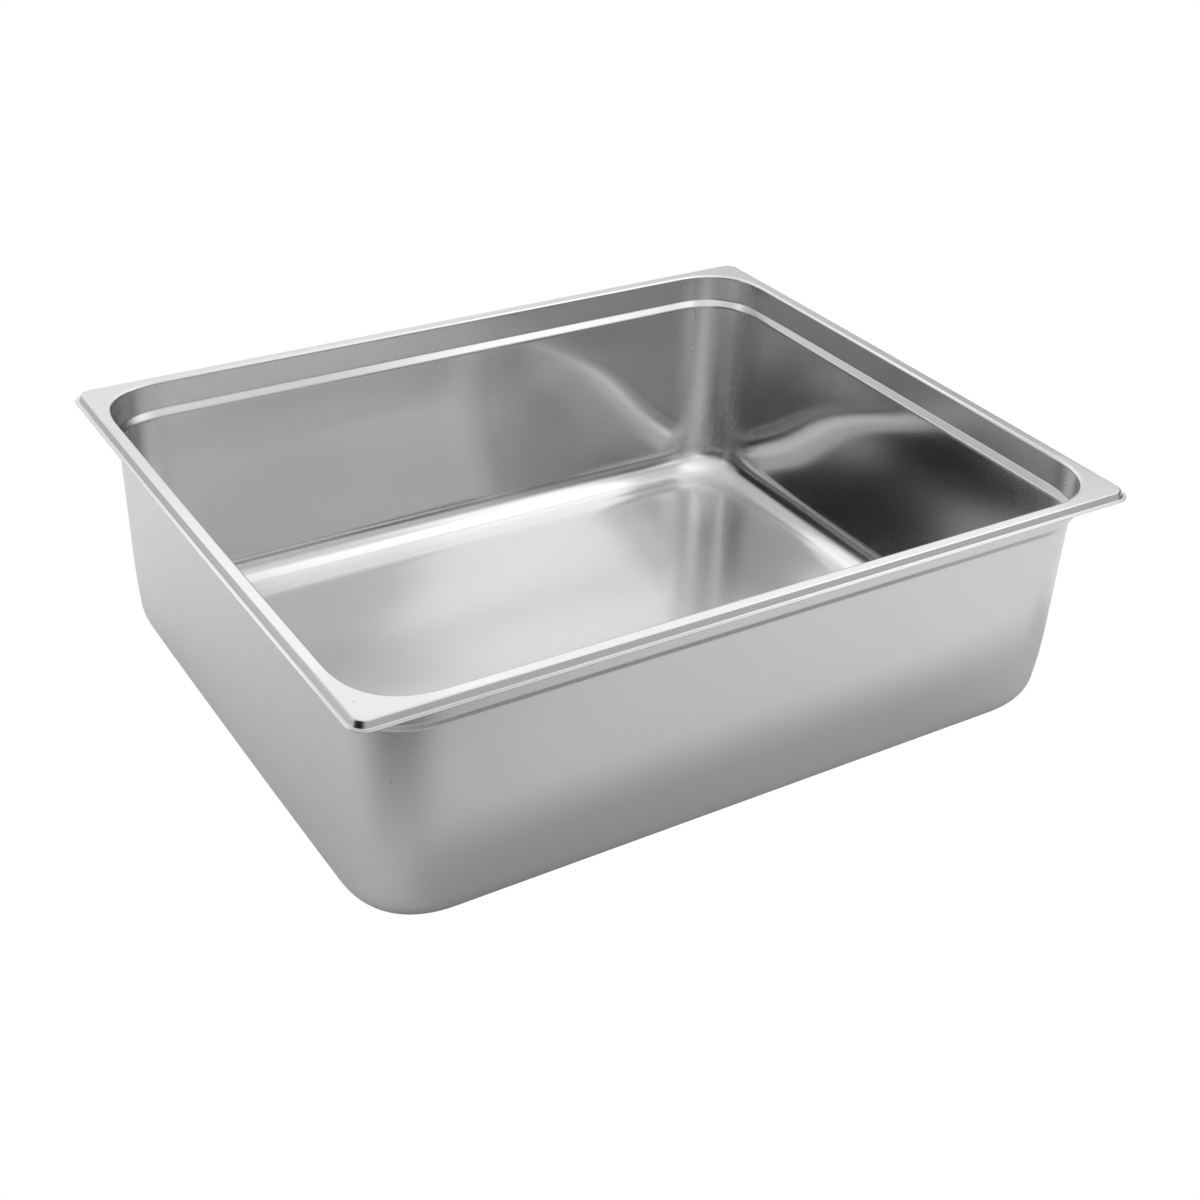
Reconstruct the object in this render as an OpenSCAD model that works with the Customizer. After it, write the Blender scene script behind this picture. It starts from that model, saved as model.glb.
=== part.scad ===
// Deep food pan of double gastronorm size, drawn from one sheet of stainless steel.
// Origin: centre of the base's underside. X runs along the long side, Z up.

/* [Size] */
// Length over the rim
pan_l = 650; // [500:1:800]
// Width over the rim
pan_w = 530; // [400:1:700]
// Height from the base's underside to the top of the rim
pan_h = 200; // [120:1:300]
// Thickness of the sheet
sheet_t = 0.8; // [0.6:0.1:1.2]

/* [Rim] */
// Width of the flat lip that runs round the rim's outer edge
lip_w = 3; // [2:0.5:6]
// Height of the rim's top above the lip
rim_drop = 5; // [4:0.5:7]
// How far the skirt between the lip and the rim's top leans inwards
skirt_lean = 2; // [1:0.5:4]
// Distance from the rim's outer edge to the opening
opening_inset = 14.5; // [14:0.5:22]
// Corner radius of the rim's outer edge
rim_corner_r = 14; // [12:1:20]

/* [Walls] */
// Corner radius of the opening
opening_corner_r = 50; // [45:1:75]
// Depth of the upright neck that a pan stacked inside rests on
neck_h = 23.5; // [16:0.5:30]
// How far the neck narrows on its way down
neck_lean = 0.5; // [0:0.1:2]
// Width of the sloping shoulder below the neck
shoulder_w = 3.7; // [3:0.1:8]
// Height of the sloping shoulder
shoulder_h = 6; // [4:0.5:10]
// How far the wall narrows from the shoulder down to the base
wall_draft = 3.3; // [1:0.1:8]
// Radius inside the bend between wall and base
base_bend_r = 26; // [12:1:34]

/* [Hidden] */
$fn = 96;

// Radii on the food side of the small bends
opening_bend_r = 2.3;
rim_bend_r = 1.2;
lip_bend_r = 0.8;
neck_bend_r = 3;
shoulder_bend_r = 5;

// Steps in a small bend and in the bend at the base
bend_steps = 5;
base_steps = 14;

// Flat of the rim's top that the rim and the walls each reach into, past their own bends
flat_reach = 1;

// Heights of the top of the lip and of the food side of the base
lip_z = pan_h - rim_drop;
floor_z = sheet_t;

// Distances from the rim's outer edge to the skirt's top, the neck's foot, the wall's top and foot
skirt_top = lip_w + skirt_lean;
neck_foot = opening_inset + neck_lean;
wall_top = neck_foot + shoulder_w;
wall_foot = wall_top + wall_draft;

// Distance from the rim's outer edge to the axis that all the walls' corners turn about
wall_axis = opening_inset + opening_corner_r;

// Where the rim's section ends and where the walls' section starts, in the rim's flat top
rim_reach = skirt_top + rim_bend_r + flat_reach;
wall_reach = opening_inset - opening_bend_r - flat_reach;

// Food side of the sheet as [distance from the rim's outer edge, height, bend radius, steps]
rim_path = [
    [0, lip_z, 0, 0],
    [lip_w, lip_z, lip_bend_r, bend_steps],
    [skirt_top, pan_h, rim_bend_r, bend_steps],
    [rim_reach + flat_reach, pan_h, 0, 0],
];
wall_path = [
    [wall_reach - flat_reach, pan_h, 0, 0],
    [opening_inset, pan_h, opening_bend_r, bend_steps],
    [neck_foot, pan_h - neck_h, neck_bend_r, bend_steps],
    [wall_top, pan_h - neck_h - shoulder_h, shoulder_bend_r, bend_steps],
    [wall_foot, floor_z, base_bend_r, base_steps],
    [wall_axis, floor_z, 0, 0],
];

function xy(p) = [p[0], p[1]];
function heading(a, b) = (xy(b) - xy(a)) / norm(xy(b) - xy(a));
function right_of(v) = [v[1], -v[0]];
function turned(v, angle) = [v[0] * cos(angle) - v[1] * sin(angle), v[0] * sin(angle) + v[1] * cos(angle)];

// An end of a path, moved by depth into the sheet
function end_point(p, direction, depth) = xy(p) + depth * right_of(direction);

// The arc that rounds the path at b, moved by depth into the sheet
function bend(a, b, c, depth) =
    let (
        d1 = heading(a, b),
        d2 = heading(b, c),
        n1 = right_of(d1),
        n2 = right_of(d2),
        side = sign(cross(d1, d2)),
        angle = acos(d1 * d2),
        corner = xy(b) + depth * (n1 + n2) / (1 + n1 * n2),
        radius = b[2] + side * depth,
        start = corner - radius * tan(angle / 2) * d1,
        centre = start - side * radius * n1
    )
    [for (i = [0:b[3]]) centre + turned(start - centre, side * angle * i / b[3])];

// One face of the sheet, depth below the food side
function face(path, depth) =
    let (last = len(path) - 1)
    [
        end_point(path[0], heading(path[0], path[1]), depth),
        for (k = [1:last - 1]) each bend(path[k - 1], path[k], path[k + 1], depth),
        end_point(path[last], heading(path[last - 1], path[last]), depth),
    ];

function reversed(list) = [for (i = [len(list) - 1:-1:0]) list[i]];

// Cross-section of the sheet, measured outwards from a corner's axis
function section(path, axis) =
    [for (p = concat(face(path, 0), reversed(face(path, sheet_t)))) [axis - p[0], p[1]]];

// Sheet swept once round the pan, with its corners turning about an axis that far from the edge
module swept(path, axis) {
    half_l = pan_l / 2 - axis;
    half_w = pan_w / 2 - axis;
    profile = section(path, axis);
    for (turn = [0, 180]) rotate(turn) {
        translate([half_l, half_w, 0]) rotate([90, 0, 0]) linear_extrude(2 * half_w) polygon(profile);
        translate([-half_l, half_w, 0]) rotate([90, 0, 90]) linear_extrude(2 * half_l) polygon(profile);
        translate([half_l, half_w, 0]) rotate_extrude(angle = 90) polygon(profile);
        translate([-half_l, half_w, 0]) rotate(90) rotate_extrude(angle = 90) polygon(profile);
    }
}

// Plate with round corners, inset from the rim's outer edge
module plate(inset, corner_axis, thickness) {
    half_l = pan_l / 2 - corner_axis;
    half_w = pan_w / 2 - corner_axis;
    radius = corner_axis - inset;
    linear_extrude(thickness) union() {
        square([2 * (half_l + radius), 2 * half_w], center = true);
        square([2 * half_l, 2 * (half_w + radius)], center = true);
        for (x = [-half_l, half_l], y = [-half_w, half_w]) translate([x, y]) circle(radius);
    }
}

// Flat top of the rim, from the skirt's bend to the opening's bend
module rim_flat() {
    translate([0, 0, pan_h - sheet_t]) difference() {
        plate(rim_reach, rim_corner_r, sheet_t);
        translate([0, 0, -sheet_t]) plate(wall_reach, wall_axis, 3 * sheet_t);
    }
}

module base_flat() {
    translate([0, 0, sheet_t / 2])
        cube([pan_l - 2 * wall_axis, pan_w - 2 * wall_axis, sheet_t], center = true);
}

module pan() {
    color("silver") union() {
        swept(rim_path, rim_corner_r);
        rim_flat();
        swept(wall_path, wall_axis);
        base_flat();
    }
}

pan();
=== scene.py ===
"""A deep stainless steel food pan, drawn from one sheet, on a plain white floor."""

import math

import bmesh
import bpy
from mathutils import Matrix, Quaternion, Vector


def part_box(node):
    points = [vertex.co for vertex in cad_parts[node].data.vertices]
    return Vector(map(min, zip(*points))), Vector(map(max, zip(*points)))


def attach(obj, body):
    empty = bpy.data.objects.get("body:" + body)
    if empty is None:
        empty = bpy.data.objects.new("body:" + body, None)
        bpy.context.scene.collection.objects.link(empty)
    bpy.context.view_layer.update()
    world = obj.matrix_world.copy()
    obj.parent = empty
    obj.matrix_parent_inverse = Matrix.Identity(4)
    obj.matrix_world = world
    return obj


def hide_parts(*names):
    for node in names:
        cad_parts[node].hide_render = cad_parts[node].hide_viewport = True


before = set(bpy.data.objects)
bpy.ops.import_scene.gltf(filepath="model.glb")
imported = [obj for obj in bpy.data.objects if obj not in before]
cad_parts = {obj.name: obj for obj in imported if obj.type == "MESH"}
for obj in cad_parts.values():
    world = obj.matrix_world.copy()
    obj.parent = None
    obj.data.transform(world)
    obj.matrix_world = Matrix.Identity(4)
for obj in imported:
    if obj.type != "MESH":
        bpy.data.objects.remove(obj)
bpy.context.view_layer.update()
PAN_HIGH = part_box("pan")[1]
HALF_L, HALF_W, TOP = PAN_HIGH.x, PAN_HIGH.y, PAN_HIGH.z
MM = 0.001

# The sheet's shape, as in the CAD model. Insets are measured from the rim's outer edge.
SHEET = 0.8 * MM
LIP_W = 3.0 * MM
RIM_DROP = 5.0 * MM
SKIRT_TOP = 5.0 * MM
OPENING = 14.5 * MM
NECK_FOOT = 15.0 * MM
NECK_H = 23.5 * MM
WALL_TOP = 18.7 * MM
SHOULDER_H = 6.0 * MM
WALL_FOOT = 22.0 * MM
RIM_AXIS = 14.0 * MM
WALL_AXIS = 64.5 * MM

# Bends on the food side as (radius, steps)
LIP_BEND = (0.8 * MM, 5)
RIM_BEND = (1.2 * MM, 6)
OPENING_BEND = (2.3 * MM, 8)
NECK_BEND = (3.0 * MM, 8)
SHOULDER_BEND = (5.0 * MM, 8)
BASE_BEND = (26.0 * MM, 24)
EDGE_STEPS = 4

# The rim's flat top lies between its two bends
FLAT_START = 6.2 * MM
FLAT_END = 12.2 * MM

# The corners open out towards the base: from this height down, by this much at the base
FLARE_START = 70.0 * MM
FLARE = 16.0 * MM

# How the walls' corners ease into the sides: a circle for 2, softer above it
CIRCLE_POWER = 2
CORNER_POWER = 2.5

# The short sides bow: their ends stand this far inside their middles
BOW = 1.5 * MM

# The drawn walls are not quite flat between base and shoulder: they bulge outwards, and a swing
# adds to that low down and takes from it high up
BULGE = 2.0 * MM
SWING = 1.0 * MM
BULGE_FOOT = 12.0 * MM
BULGE_TOP = TOP - NECK_H - SHOULDER_H

# A rise above 1 moves the bulge up a wall. It dies away this far inside the rim's edge, both
# along a wall and towards the pan's middle.
BULGE_RISE = 1.2
BULGE_INSET = 40.0 * MM

# The bulge keeps its depth along most of a wall and fades near the corners
BULGE_FLATNESS = 4
BULGE_FADE = 1.5

# Mesh density: steps round a corner and along the sides
CORNER_STEPS = 28
LONG_STEPS = 72
SHORT_STEPS = 58
FLAT_STEP = 12.0 * MM
SUPPORT = 0.5 * MM
JOIN_DISTANCE = 0.001 * MM

# The steel's finish. The drawn corners and the neck are duller than the walls.
STEEL_COLOUR = 0.72
WALL_ROUGHNESS = 0.11
BASE_ROUGHNESS = 0.165
FOLD_ROUGHNESS = 0.20
NECK_ROUGHNESS = 0.20
CORNER_ROUGHNESS = 0.28
GRAIN_DEPTH = 0.0004 * MM
LINES_IN_BUMP = 0.1

# Heights between which one roughness passes into the next, and the same into a corner
FOLD_BLEND = (1 * MM, 6 * MM)
WALL_BLEND = (14 * MM, 30 * MM)
NECK_BLEND = (BULGE_TOP - 4 * MM, BULGE_TOP + 2 * MM)
CORNER_BLEND = (-20 * MM, 15 * MM)

# Patterns: waves to the metre along X, Y and Z, and what each adds to roughness and to tone
CLOUD_WAVES = (9, 9, 9)
LINE_WAVES = (420, 420, 6)
GRAIN_WAVES = (900, 900, 900)
CLOUD_ROUGHNESS = 0.05
LINE_ROUGHNESS = 0.01
GRAIN_ROUGHNESS = 0.01
SCRATCH_ROUGHNESS = 0.03
LINE_TONE = 0.008
CLOUD_TONE = 0.03

# Specks: cells to the metre, the draw above which a cell has one, its inner and outer radius in
# cells, and how much it darkens
SPECK_CELLS = 55
SPECK_DRAW = 0.72
SPECK_RADII = (0.025, 0.05)
SPECK_DEPTH = 0.45

# Scratches: the turn of each set in radians and its waves to the metre, how much finer it is
# across, the half width of a line, and the noise between which a patch of lines fades in
SCRATCH_SETS = ((0.5, 7.0), (2.2, 5.0))
SCRATCH_TILT = (0.3, 0.7, 1.0)
SCRATCH_FINENESS = 18
SCRATCH_WIDTH = 0.006
SCRATCH_PATCH_WAVES = (0.6, 0.6, 0.6)
SCRATCH_PATCHES = (0.02, 0.12)

# Camera: metres and radians
CAMERA_PLACE = (-0.6823, -1.0811, 0.8347)
CAMERA_YAW = 0.5748
CAMERA_PITCH = 0.5477
CAMERA_ROLL = 0.0448
CAMERA_LENS = 54.87
SENSOR = 36.0

# The white floor and backdrop, and the smaller floor just above it that the steel mirrors
FLOOR_RADIUS = 40.0
FLOOR_Z = -1.0 * MM
MIRRORED_RADIUS = 3.0
MIRRORED_Z = -0.2 * MM
DISC_CORNERS = 96
BACKDROP_STEPS = (64, 32)

# The floor that the steel mirrors falls into painted shade towards this azimuth, between these
# distances
SHADE_AZIMUTH = -122
SHADE_START = 0.35
SHADE_END = 0.75
FLOOR_WHITE = 0.8
FLOOR_SHADE = 0.05
# A painted glow in the floor's emission, full behind the pan and fading out towards this azimuth
FLOOR_PAINTED_GLOW = 0.16
# A painted shadow of the pan round its foot: its darkest, its reach and its shift
FOOT_SHADOW = 0.7
FOOT_REACH = 0.09
SHADOW_SHIFT = (0.08, -0.02, 0)

# Soft lamps hung over the pan: from x, to x, from y, to y, height, strength. The small ones hang
# just below the large ones and hide part of them.
LAMPS = [
    (-0.75, 1.40, -1.00, 1.50, 0.90, 0.84),
    (-0.50, 1.25, -1.50, -1.00, 0.90, 0.62),
    (-1.40, -0.75, -0.50, 1.50, 0.90, 0.54),
    (-0.38, 0.12, -0.38, 0.25, 0.89, 1.05),
    (0.12, 0.38, -0.38, 0.25, 0.89, 1.40),
    (0.38, 1.00, -0.38, 0.25, 0.89, 1.70),
    (0.50, 1.00, -1.10, -0.38, 0.89, 1.46),
    (-0.42, 0.05, -1.05, -0.72, 0.89, 1.70),
    (0.00, 1.00, 0.50, 0.75, 0.89, 1.42),
    (-0.45, 0.40, 0.75, 1.30, 0.89, 1.30),
    (1.00, 1.50, 0.25, 0.75, 0.89, 1.42),
    (-1.25, -0.75, 0.25, 0.50, 0.89, 2.10),
]

# Lit walls of the studio, in degrees: azimuth, half width and the softness of its sides, heights
# of the lower and upper edge and their softness, strength
WALLS = [
    (84, 33, 12, -10, 40, 5, 1.00),
    (150, 24, 10, -10, 40, 5, 1.00),
    (-76, 42, 12, -10, 40, 5, 0.56),
]
WHITE = (1.0, 1.0, 1.0, 1.0)


# --- The sheet's cross-section ---------------------------------------------------------------

def sine(degrees):
    return math.sin(math.radians(degrees))


def cosine(degrees):
    return math.cos(math.radians(degrees))


def heading(a, b):
    return (b - a).normalized()


def right_of(v):
    return Vector((v.y, -v.x))


def bend(a, b, c, radius, steps, depth):
    """The arc that rounds the path at b, moved by depth into the sheet."""
    d1, d2 = heading(a, b), heading(b, c)
    n1, n2 = right_of(d1), right_of(d2)
    side = math.copysign(1.0, d1.x * d2.y - d1.y * d2.x)
    angle = math.acos(d1.dot(d2))
    corner = b + depth * (n1 + n2) / (1 + n1.dot(n2))
    radius += side * depth
    start = corner - radius * math.tan(angle / 2) * d1
    centre = start - side * radius * n1
    points = []
    for i in range(steps + 1):
        spoke = start - centre
        turn = side * angle * i / steps
        spoke = Vector((spoke.x * math.cos(turn) - spoke.y * math.sin(turn),
                        spoke.x * math.sin(turn) + spoke.y * math.cos(turn)))
        points.append(centre + spoke)
    return points


def straight(a, b):
    """Points between two bends, one close to each end to keep the shading of the flat even."""
    length = (b - a).length
    if length < 3 * SUPPORT:
        return []
    count = max(1, round(length / FLAT_STEP))
    marks = [SUPPORT / length] + [i / count for i in range(1, count)] + [1 - SUPPORT / length]
    return [a.lerp(b, mark) for mark in marks]


def face(path, depth):
    """One face of the sheet as points (inset, height), depth below the food side."""
    ends = [Vector(p[:2]) for p in path]
    runs = [[ends[0] + depth * right_of(heading(ends[0], ends[1]))]]
    for k in range(1, len(path) - 1):
        radius, steps = path[k][2]
        runs.append(bend(ends[k - 1], ends[k], ends[k + 1], radius, steps, depth))
    runs.append([ends[-1] + depth * right_of(heading(ends[-2], ends[-1]))])
    points = list(runs[0])
    for before, after in zip(runs, runs[1:]):
        points += straight(before[-1], after[0]) + after
    return points


SHEET_PATH = [
    (0.0, TOP - RIM_DROP),
    (LIP_W, TOP - RIM_DROP, LIP_BEND),
    (SKIRT_TOP, TOP, RIM_BEND),
    (OPENING, TOP, OPENING_BEND),
    (NECK_FOOT, TOP - NECK_H, NECK_BEND),
    (WALL_TOP, TOP - NECK_H - SHOULDER_H, SHOULDER_BEND),
    (WALL_FOOT, SHEET, BASE_BEND),
    (WALL_AXIS + FLARE, SHEET),
]


def share(value, start, end):
    """How far value has gone from start to end, from 0 to 1."""
    return min(max((value - start) / (end - start), 0.0), 1.0)


def axis_inset(inset, height):
    """How far in from the rim's edge the axis of a corner lies, at a point of the section."""
    across = share(inset, FLAT_START, FLAT_END)
    down = share(height, FLARE_START, SHEET)
    return RIM_AXIS + (WALL_AXIS - RIM_AXIS) * across + FLARE * down * down


# --- The pan's mesh --------------------------------------------------------------------------

def ring(inset, height):
    """One closed loop round the pan, anticlockwise from the end of the -Y side."""
    axis = axis_inset(inset, height)
    radius = axis - inset
    far_x, far_y = HALF_L - axis, HALF_W - axis
    corners = [(far_x, -far_y, -90, SHORT_STEPS), (far_x, far_y, 0, LONG_STEPS),
               (-far_x, far_y, 90, SHORT_STEPS), (-far_x, -far_y, 180, LONG_STEPS)]
    points = []
    power = CIRCLE_POWER + (CORNER_POWER - CIRCLE_POWER) * share(inset, FLAT_START, FLAT_END)
    for k, (x, y, start, side_steps) in enumerate(corners):
        for i in range(CORNER_STEPS + 1):
            across, along = corner_point(radius, power, 90 * i / CORNER_STEPS, start)
            points.append(Vector((x + across, y + along, height)))
        next_x, next_y, next_start, _ = corners[(k + 1) % 4]
        across, along = corner_point(radius, power, 0, next_start)
        arrival = Vector((next_x + across, next_y + along, height))
        departure = points[-1]
        points += [departure.lerp(arrival, i / side_steps) for i in range(1, side_steps)]
    for point in points:
        point.x = bowed(point.x, point.y)
        point.x, point.y = (point.x + bulge(point.x, point.y, HALF_L, HALF_W, height),
                            point.y + bulge(point.y, point.x, HALF_W, HALF_L, height))
    return points


def corner_point(radius, power, turn, start):
    """A corner's point, from its axis: on a circle for a power of 2, softer for a higher one.

    Every power passes through the middle of the circle's arc, so a softer corner reaches further.
    """
    reach = radius * (1 - 2 ** (-1 / CIRCLE_POWER)) / (1 - 2 ** (-1 / power))
    across = radius - reach + reach * cosine(turn) ** (2 / power)
    along = radius - reach + reach * sine(turn) ** (2 / power)
    return (across * cosine(start) - along * sine(start),
            across * sine(start) + along * cosine(start))


def bowed(x, y):
    """The x of a point once the short sides' ends are pulled in."""
    return x * (1 - BOW / HALF_L * (y / HALF_W) ** 2)


def bulge(across, along, half_across, half_along, height):
    """How far outwards a wall stands from flat, at a distance across and along the pan."""
    rise = share(height, BULGE_FOOT, BULGE_TOP) ** BULGE_RISE
    from_corner = max(1 - (along / (half_along - BULGE_INSET)) ** BULGE_FLATNESS, 0) ** BULGE_FADE
    near_wall = share(abs(across), half_across - BULGE_INSET, half_across - BULGE_INSET / 2)
    out = BULGE * math.sin(math.pi * rise) + SWING * math.sin(2 * math.pi * rise)
    return math.copysign(out * from_corner * near_wall, across)


def bridge(faces, first, second, count):
    for i in range(count):
        j = (i + 1) % count
        faces.append((first + i, first + j, second + j, second + i))


def core(verts, faces, height):
    """The middle of the base, inside the corners' axes, as a grid of quads."""
    far_x = HALF_L - WALL_AXIS - FLARE
    far_y = HALF_W - WALL_AXIS - FLARE
    first = len(verts)
    for j in range(SHORT_STEPS + 1):
        for i in range(LONG_STEPS + 1):
            x = far_x * (2 * i / LONG_STEPS - 1)
            y = far_y * (2 * j / SHORT_STEPS - 1)
            verts.append(Vector((bowed(x, y), y, height)))
    row = LONG_STEPS + 1
    for j in range(SHORT_STEPS):
        for i in range(LONG_STEPS):
            k = first + j * row + i
            faces.append((k, k + 1, k + row + 1, k + row))


def cut_edge(top, bottom):
    """The lip's cut edge, rounded from its top face to its underside."""
    centre = (top + bottom) / 2
    points = []
    for i in range(1, EDGE_STEPS):
        angle = math.pi * i / EDGE_STEPS
        points.append(centre + SHEET / 2 * Vector((1 - math.sin(angle), math.cos(angle))))
    return points


def build_pan():
    food_side = face(SHEET_PATH, 0.0)
    outside = face(SHEET_PATH, SHEET)
    edge = cut_edge(food_side[0], outside[0])
    for side in (food_side, outside):
        side[0] = side[0] + Vector((SHEET / 2, 0))
    section = food_side[::-1] + edge + outside
    verts, faces = [], []
    for point in section:
        verts += ring(point.x, point.y)
    count = len(verts) // len(section)
    for k in range(len(section) - 1):
        bridge(faces, k * count, (k + 1) * count, count)
    core(verts, faces, SHEET)
    core(verts, faces, 0.0)
    mesh = bpy.data.meshes.new("pan_body")
    mesh.from_pydata([tuple(v) for v in verts], [], faces)
    clean(mesh)
    pan = bpy.data.objects.new("pan_body", mesh)
    bpy.context.scene.collection.objects.link(pan)
    return pan


def clean(mesh):
    """Joins the loops' shared points, faces the mesh outwards and shades it smooth."""
    work = bmesh.new()
    work.from_mesh(mesh)
    bmesh.ops.remove_doubles(work, verts=work.verts, dist=JOIN_DISTANCE)
    bmesh.ops.recalc_face_normals(work, faces=work.faces)
    for polygon in work.faces:
        polygon.smooth = True
    work.to_mesh(mesh)
    work.free()


class Nodes:
    """Short calls for building a node tree."""

    def __init__(self, tree):
        self.tree = tree

    def add(self, kind, **settings):
        node = self.tree.nodes.new(kind)
        for name, value in settings.items():
            setattr(node, name, value)
        return node

    def put(self, socket, value):
        """Links an output to the socket, or sets the socket's own value."""
        if isinstance(value, bpy.types.NodeSocket):
            self.tree.links.new(value, socket)
        else:
            socket.default_value = value

    def math(self, operation, *values):
        node = self.add("ShaderNodeMath", operation=operation)
        for socket, value in zip(node.inputs, values):
            self.put(socket, value)
        return node.outputs[0]

    def vector(self, operation, *values, output=0):
        node = self.add("ShaderNodeVectorMath", operation=operation)
        for socket, value in zip(node.inputs, values):
            self.put(socket, value)
        return node.outputs[output]

    def noise(self, place, scale, detail):
        """Soft noise round zero, with this many waves to the metre along each axis."""
        node = self.add("ShaderNodeTexNoise")
        self.put(node.inputs["Vector"], self.vector("MULTIPLY", place, scale))
        node.inputs["Scale"].default_value = 1.0
        node.inputs["Detail"].default_value = detail
        return self.math("SUBTRACT", node.outputs["Fac"], 0.5)

    def fade(self, value, start, end, low=0.0, high=1.0):
        """Goes smoothly from low to high as value goes from start to end."""
        node = self.add("ShaderNodeMapRange", interpolation_type="SMOOTHSTEP")
        for socket, given in zip(node.inputs, (value, start, end, low, high)):
            self.put(socket, given)
        return node.outputs[0]


# --- Finish ----------------------------------------------------------------------------------

def steel_material():
    """Satin steel with faint clouds, draw lines, fine grain, scratches and specks."""
    material = bpy.data.materials.new("steel")
    material.use_nodes = True
    nodes = Nodes(material.node_tree)
    shader = material.node_tree.nodes["Principled BSDF"]
    place = nodes.add("ShaderNodeTexCoord").outputs["Object"]
    clouds = nodes.noise(place, CLOUD_WAVES, detail=3)
    lines = nodes.noise(place, LINE_WAVES, detail=2)
    grain = nodes.noise(place, GRAIN_WAVES, detail=1)
    marks = scratches(nodes, place)
    roughness = dullness(nodes, place)
    for pattern, amount in ((clouds, CLOUD_ROUGHNESS), (lines, LINE_ROUGHNESS),
                            (grain, GRAIN_ROUGHNESS), (marks, SCRATCH_ROUGHNESS)):
        roughness = nodes.math("MULTIPLY_ADD", pattern, amount, roughness)
    tone = nodes.math("MULTIPLY_ADD", lines, LINE_TONE, STEEL_COLOUR)
    tone = nodes.math("MULTIPLY_ADD", clouds, CLOUD_TONE, tone)
    tone = nodes.math("MULTIPLY", tone, specks(nodes, place))
    colour = nodes.add("ShaderNodeCombineColor")
    for socket in colour.inputs:
        nodes.put(socket, tone)
    nodes.put(shader.inputs["Base Color"], colour.outputs[0])
    nodes.put(shader.inputs["Roughness"], roughness)
    shader.inputs["Metallic"].default_value = 1.0
    bump = nodes.add("ShaderNodeBump")
    nodes.put(bump.inputs["Height"], nodes.math("MULTIPLY_ADD", lines, LINES_IN_BUMP, grain))
    bump.inputs["Distance"].default_value = GRAIN_DEPTH
    nodes.put(shader.inputs["Normal"], bump.outputs["Normal"])
    return material


def dullness(nodes, place):
    """The finish's roughness: least on the walls, more on base, fold, neck and corners."""
    axes = nodes.add("ShaderNodeSeparateXYZ")
    nodes.put(axes.inputs[0], nodes.vector("ABSOLUTE", place))
    x, y, z = axes.outputs
    into_corner = nodes.math("MINIMUM", nodes.math("SUBTRACT", x, HALF_L - WALL_AXIS),
                             nodes.math("SUBTRACT", y, HALF_W - WALL_AXIS))
    fold = nodes.fade(z, *FOLD_BLEND, BASE_ROUGHNESS, FOLD_ROUGHNESS)
    wall = nodes.fade(z, *WALL_BLEND, fold, WALL_ROUGHNESS)
    neck = nodes.fade(z, *NECK_BLEND, wall, NECK_ROUGHNESS)
    return nodes.fade(into_corner, *CORNER_BLEND, neck, CORNER_ROUGHNESS)


def specks(nodes, place):
    """Sparse dark specks: 1 on clean steel, less in a speck."""
    cells = nodes.add("ShaderNodeTexVoronoi", feature="F1")
    nodes.put(cells.inputs["Vector"], place)
    cells.inputs["Scale"].default_value = SPECK_CELLS
    chosen = nodes.math("GREATER_THAN", cells.outputs["Color"], SPECK_DRAW)
    inside = nodes.fade(cells.outputs["Distance"], *SPECK_RADII, SPECK_DEPTH, 0.0)
    return nodes.math("SUBTRACT", 1.0, nodes.math("MULTIPLY", inside, chosen))


def scratches(nodes, place):
    """Two sets of fine, faint scratches: 1 in the middle of a scratch, 0 beside it."""
    total = 0.0
    for turn, waves in SCRATCH_SETS:
        turned = nodes.add("ShaderNodeMapping")
        nodes.put(turned.inputs["Vector"], place)
        turned.inputs["Rotation"].default_value = [tilt * turn for tilt in SCRATCH_TILT]
        waves_across = SCRATCH_FINENESS * waves
        turned.inputs["Scale"].default_value = (waves, waves_across, waves_across)
        off = nodes.math("ABSOLUTE", nodes.noise(turned.outputs[0], (1, 1, 1), detail=1))
        patches = nodes.noise(turned.outputs[0], SCRATCH_PATCH_WAVES, detail=0)
        patches = nodes.fade(patches, *SCRATCH_PATCHES)
        line = nodes.math("MULTIPLY", nodes.fade(off, 0.0, SCRATCH_WIDTH, 1.0, 0.0), patches)
        total = nodes.math("ADD", line, total)
    return total


# --- Studio ----------------------------------------------------------------------------------

def plain_emission(name, strength):
    material = bpy.data.materials.new(name)
    material.use_nodes = True
    tree = material.node_tree
    tree.nodes.clear()
    glow = tree.nodes.new("ShaderNodeEmission")
    glow.inputs["Color"].default_value = WHITE
    glow.inputs["Strength"].default_value = strength
    out = tree.nodes.new("ShaderNodeOutputMaterial")
    tree.links.new(glow.outputs["Emission"], out.inputs["Surface"])
    return material


def disc(name, radius, height, material):
    bpy.ops.mesh.primitive_circle_add(vertices=DISC_CORNERS, radius=radius, fill_type="NGON",
                                      location=(0, 0, height))
    floor = bpy.context.object
    floor.name = name
    floor.data.materials.append(material)
    return floor


def only_camera(obj):
    obj.visible_diffuse = False
    obj.visible_glossy = False
    obj.visible_transmission = False
    obj.visible_shadow = False


def build_floor():
    """A white floor and backdrop for the camera, and a pale floor with painted shade, shadow and
    glow for what the steel mirrors.
    """
    seen = disc("floor", FLOOR_RADIUS, FLOOR_Z, plain_emission("white_floor", 1.0))
    only_camera(seen)
    segments, rings = BACKDROP_STEPS
    bpy.ops.mesh.primitive_uv_sphere_add(segments=segments, ring_count=rings, radius=FLOOR_RADIUS)
    backdrop = bpy.context.object
    backdrop.name = "backdrop"
    backdrop.data.materials.append(plain_emission("white_backdrop", 1.0))
    only_camera(backdrop)
    mirrored = disc("mirrored_floor", MIRRORED_RADIUS, MIRRORED_Z, pale_floor_material())
    mirrored.visible_camera = False


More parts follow.
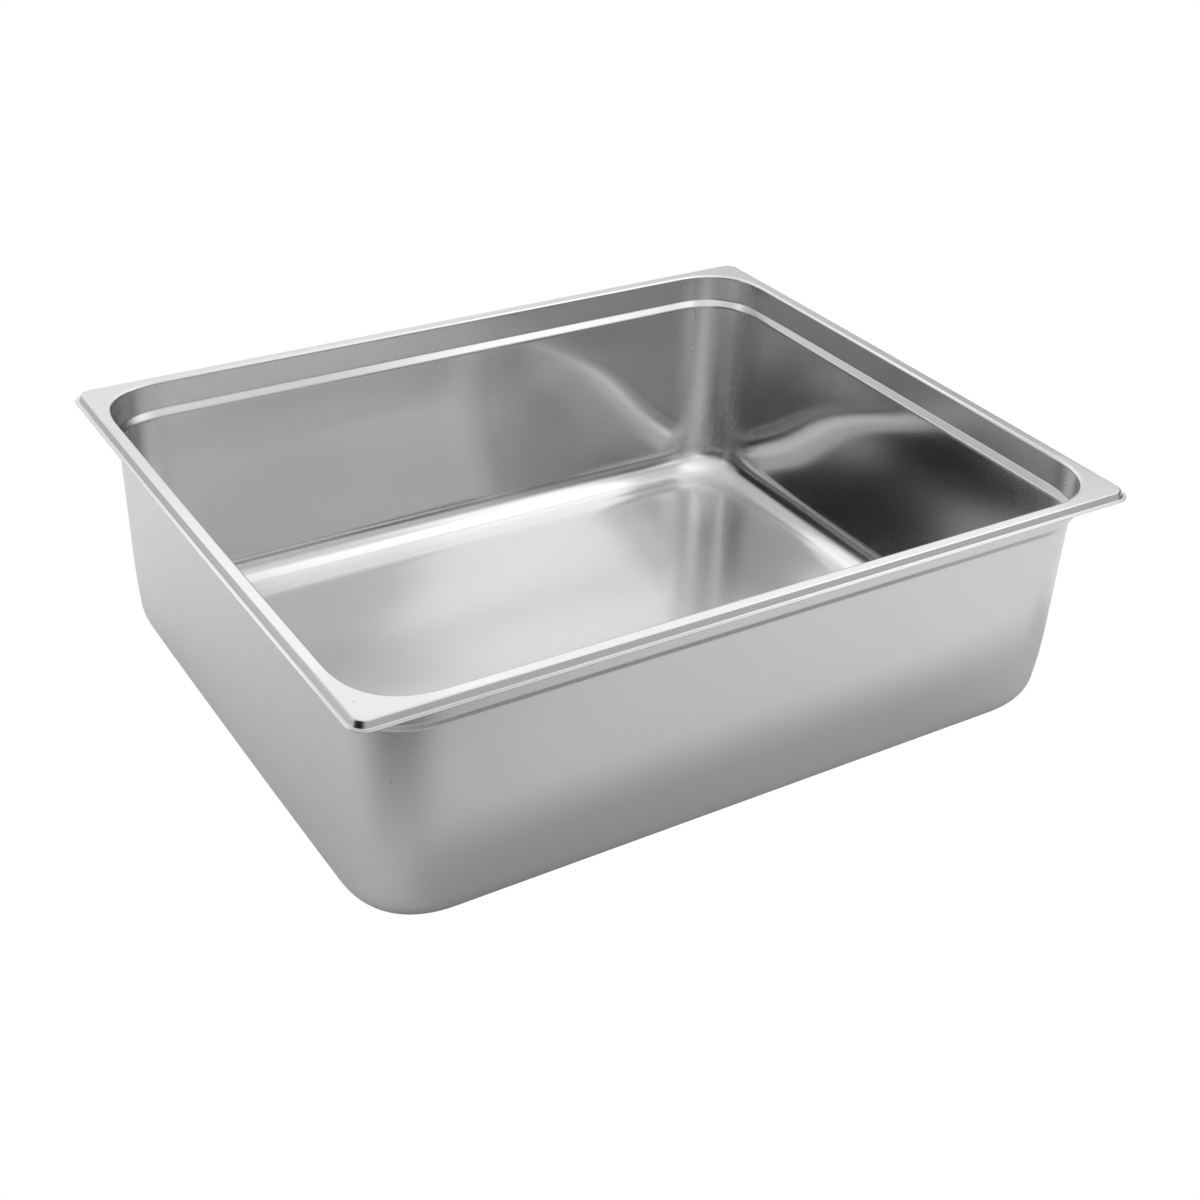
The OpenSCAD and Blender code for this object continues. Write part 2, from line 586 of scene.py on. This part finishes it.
def pale_floor_material():
    """White round the pan and behind it, falling into painted shade in front and a painted shadow
    close to its foot, with a painted glow behind it.
    """
    material = bpy.data.materials.new("pale_floor")
    material.use_nodes = True
    nodes = Nodes(material.node_tree)
    place = nodes.add("ShaderNodeTexCoord").outputs["Object"]
    towards = (cosine(SHADE_AZIMUTH), sine(SHADE_AZIMUTH), 0)
    distance = nodes.vector("DOT_PRODUCT", place, towards, output="Value")
    shifted = nodes.vector("SUBTRACT", place, SHADOW_SHIFT)
    beyond = nodes.vector("SUBTRACT", nodes.vector("ABSOLUTE", shifted), (HALF_L, HALF_W, 0))
    beyond = nodes.vector("LENGTH", nodes.vector("MAXIMUM", beyond, (0, 0, 0)), output="Value")
    # Painted shadow round the pan's foot, painted shade in the floor's colour and a painted glow
    # in its emission
    shadow = nodes.fade(beyond, 0.0, FOOT_REACH, FOOT_SHADOW, 1.0)
    white_with_painted_shade = nodes.fade(distance, SHADE_START, SHADE_END, FLOOR_WHITE, FLOOR_SHADE)
    glow = nodes.fade(distance, 0.0, SHADE_END, FLOOR_PAINTED_GLOW, 0.0)
    shader = material.node_tree.nodes["Principled BSDF"]
    nodes.put(shader.inputs["Base Color"], nodes.math("MULTIPLY", white_with_painted_shade, shadow))
    nodes.put(shader.inputs["Emission Strength"], nodes.math("MULTIPLY", glow, shadow))
    shader.inputs["Emission Color"].default_value = WHITE
    shader.inputs["Roughness"].default_value = 1.0
    shader.inputs["Specular IOR Level"].default_value = 0.0
    return material


def build_sky():
    """The studio round the pan, as the steel mirrors it: lit walls, and a dark room in front."""
    world = bpy.data.worlds.new("studio")
    bpy.context.scene.world = world
    world.use_nodes = True
    nodes = Nodes(world.node_tree)
    direction = nodes.add("ShaderNodeTexCoord").outputs["Generated"]
    rise = nodes.add("ShaderNodeSeparateXYZ")
    nodes.put(rise.inputs[0], direction)
    level = nodes.vector("NORMALIZE", nodes.vector("MULTIPLY", direction, (1, 1, 0)))
    total = 0.0
    for wall in WALLS:
        total = nodes.math("ADD", total, lit_wall(nodes, level, rise.outputs["Z"], *wall))
    background = world.node_tree.nodes["Background"]
    nodes.put(background.inputs["Strength"], total)
    background.inputs["Color"].default_value = WHITE


def lit_wall(nodes, level, rise, azimuth, half_width, side_soft, low, high, edge_soft, strength):
    """One soft-edged wall of the studio, as the strength it adds in each direction."""
    towards = (cosine(azimuth), sine(azimuth), 0)
    facing = nodes.vector("DOT_PRODUCT", level, towards, output="Value")
    across = nodes.fade(facing, cosine(half_width + side_soft), cosine(half_width - side_soft))
    bottom = nodes.fade(rise, sine(low - edge_soft), sine(low + edge_soft))
    top = nodes.fade(rise, sine(high - edge_soft), sine(high + edge_soft), strength, 0.0)
    return nodes.math("MULTIPLY", nodes.math("MULTIPLY", across, bottom), top)


def build_lamps():
    """Soft lamps over the pan: they light it and show in the steel, but not to the camera."""
    for k, (x0, x1, y0, y1, height, strength) in enumerate(LAMPS):
        mesh = bpy.data.meshes.new(f"lamp_{k}")
        corners = [(x0, y0, height), (x0, y1, height), (x1, y1, height), (x1, y0, height)]
        mesh.from_pydata(corners, [], [(0, 1, 2, 3)])
        mesh.materials.append(plain_emission(f"lamp_light_{k}", strength))
        lamp = bpy.data.objects.new(f"lamp_{k}", mesh)
        bpy.context.scene.collection.objects.link(lamp)
        lamp.visible_camera = False


def build_camera():
    camera = bpy.data.objects.new("camera", bpy.data.cameras.new("camera"))
    bpy.context.scene.collection.objects.link(camera)
    camera.data.lens = CAMERA_LENS
    camera.data.sensor_width = SENSOR
    camera.data.clip_end = 3 * FLOOR_RADIUS
    camera.location = CAMERA_PLACE
    forward = Vector((math.sin(CAMERA_YAW) * math.cos(CAMERA_PITCH),
                      math.cos(CAMERA_YAW) * math.cos(CAMERA_PITCH),
                      -math.sin(CAMERA_PITCH)))
    camera.rotation_mode = "QUATERNION"
    roll = Quaternion((0, 0, 1), CAMERA_ROLL)
    camera.rotation_quaternion = forward.to_track_quat("-Z", "Y") @ roll
    bpy.context.scene.camera = camera


build_camera()
build_floor()
build_sky()
build_lamps()
pan_body = build_pan()
pan_body.data.materials.append(steel_material())
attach(pan_body, "root")
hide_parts("pan")

bpy.context.scene.view_settings.view_transform = "Standard"
